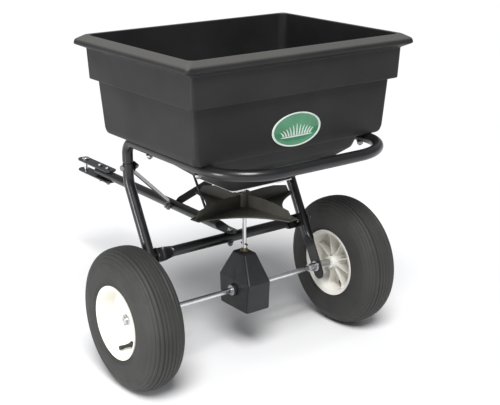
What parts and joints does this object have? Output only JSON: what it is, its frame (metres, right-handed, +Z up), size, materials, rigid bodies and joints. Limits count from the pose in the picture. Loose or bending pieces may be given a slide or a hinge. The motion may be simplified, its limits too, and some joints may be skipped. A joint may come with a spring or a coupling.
{
  "type": "garden spreader",
  "caption": "Tow-behind broadcast spreader: open hopper on a tube frame with pneumatic wheels, tongue and clevis hitch, and an axle-driven spinning impeller under a sliding outlet gate.",
  "frame": {"origin": "middle of the whole object's footprint, on the ground under it", "axes": "+X to the right seen from behind, +Y forwards to the hitch, +Z up; the wheels stand on Z = 0"},
  "size_m": [0.719, 1.1038, 0.774],
  "materials": {
    "hopper_plastic": "moulded black polyethylene with a fine satin grain",
    "badge": "glossy green oval plate with a pale edge",
    "cover_plastic": "moulded dark grey plastic, satin",
    "impeller_plastic": "moulded black nylon, satin",
    "black_paint": "gloss black powder coat on steel",
    "zinc": "bright zinc plate",
    "fastener_zinc": "bright zinc plate",
    "dark_steel": "plain steel, slightly oiled",
    "bronze": "sintered bronze bush",
    "grip": "soft black vinyl grip",
    "rim_plastic": "white moulded plastic, semi-gloss",
    "tyre_rubber": "matt charcoal rubber",
    "valve_rubber": "black rubber"
  },
  "bodies": {
    "frame": {"hopper": "hopper_plastic", "badge": "badge", "gearbox_cover_rear": "cover_plastic", "gearbox_cover_front": "cover_plastic", "hopper_frame": "black_paint", "cross_tube": "black_paint", "tongue": "black_paint", "hitch_upper_plate": "black_paint", "hitch_lower_plate": "black_paint", "left_leg": "black_paint", "right_leg": "black_paint", "left_brace": "black_paint", "right_brace": "black_paint", "flow_bracket": "black_paint", "flow_stay": "black_paint", "gate_guide_left": "zinc", "gate_guide_right": "zinc", "left_axle_bush": "zinc", "right_axle_bush": "zinc", "gearbox_left_bush": "zinc", "gearbox_right_bush": "zinc", "lever_pivot_bolt": "fastener_zinc", "left_brace_bolt": "fastener_zinc", "right_brace_bolt": "fastener_zinc", "left_cross_bolt": "fastener_zinc", "right_cross_bolt": "fastener_zinc", "tongue_cross_bolt": "fastener_zinc", "brace_tongue_bolt": "fastener_zinc", "hitch_rear_bolt": "fastener_zinc", "hitch_front_bolt": "fastener_zinc", "outlet_plate": "dark_steel", "shaft_guide_bush": "bronze", "gearbox_shaft_bush": "bronze"},
    "axle": {"axle": "zinc", "right_rim": "rim_plastic", "right_tyre": "tyre_rubber", "right_valve_stem": "valve_rubber", "wheel_drive_pin": "dark_steel", "axle_gear": "dark_steel", "left_axle_collar": "zinc", "right_axle_collar": "zinc", "left_wheel_spacer": "zinc", "right_wheel_spacer": "zinc", "left_wheel_washer": "zinc", "right_wheel_washer": "zinc", "left_axle_cotter": "dark_steel", "right_axle_cotter": "dark_steel"},
    "left_wheel": {"left_rim": "rim_plastic", "left_tyre": "tyre_rubber", "left_valve_stem": "valve_rubber"},
    "impeller": {"impeller_shaft": "zinc", "shaft_pinion": "dark_steel", "shaft_cross_pin": "dark_steel", "impeller": "impeller_plastic", "agitator": "dark_steel"},
    "flow_lever": {"flow_lever": "zinc", "lever_grip": "grip"},
    "gate": {"slide_gate": "zinc", "gate_link": "zinc"},
    "hitch_pin": {"hitch_pin": "zinc"}
  },
  "joints": [
    {"name": "axle_spin", "type": "hinge", "parent": "frame", "child": "axle", "pos_m": [0, -0.26015, 0.165], "axis": [1, 0, 0], "continuous": true},
    {"name": "left_wheel_spin", "type": "hinge", "parent": "axle", "child": "left_wheel", "pos_m": [-0.31, -0.26015, 0.165], "axis": [1, 0, 0], "continuous": true},
    {"name": "impeller_spin", "type": "hinge", "parent": "frame", "child": "impeller", "pos_m": [0, -0.26015, 0.38], "axis": [0, 0, 1], "continuous": true},
    {"name": "flow_lever_tilt", "type": "hinge", "parent": "frame", "child": "flow_lever", "pos_m": [0.0088, 0.00185, 0.5], "axis": [-1, 0, 0], "range_deg": [0, 24.12]},
    {"name": "gate_slide", "type": "slide", "parent": "frame", "child": "gate", "axis": [0, -1, 0], "range_m": [0, 0.0301]},
    {"name": "hitch_pin_lift", "type": "slide", "parent": "frame", "child": "hitch_pin", "axis": [0, 0, 1], "range_m": [0, 0.055]}
  ],
  "couplings": [
    {"joint": "impeller_spin", "follows": "axle_spin", "ratio": 3},
    {"joint": "gate_slide", "follows": "flow_lever_tilt", "m_per_rad": 0.07126}
  ]
}
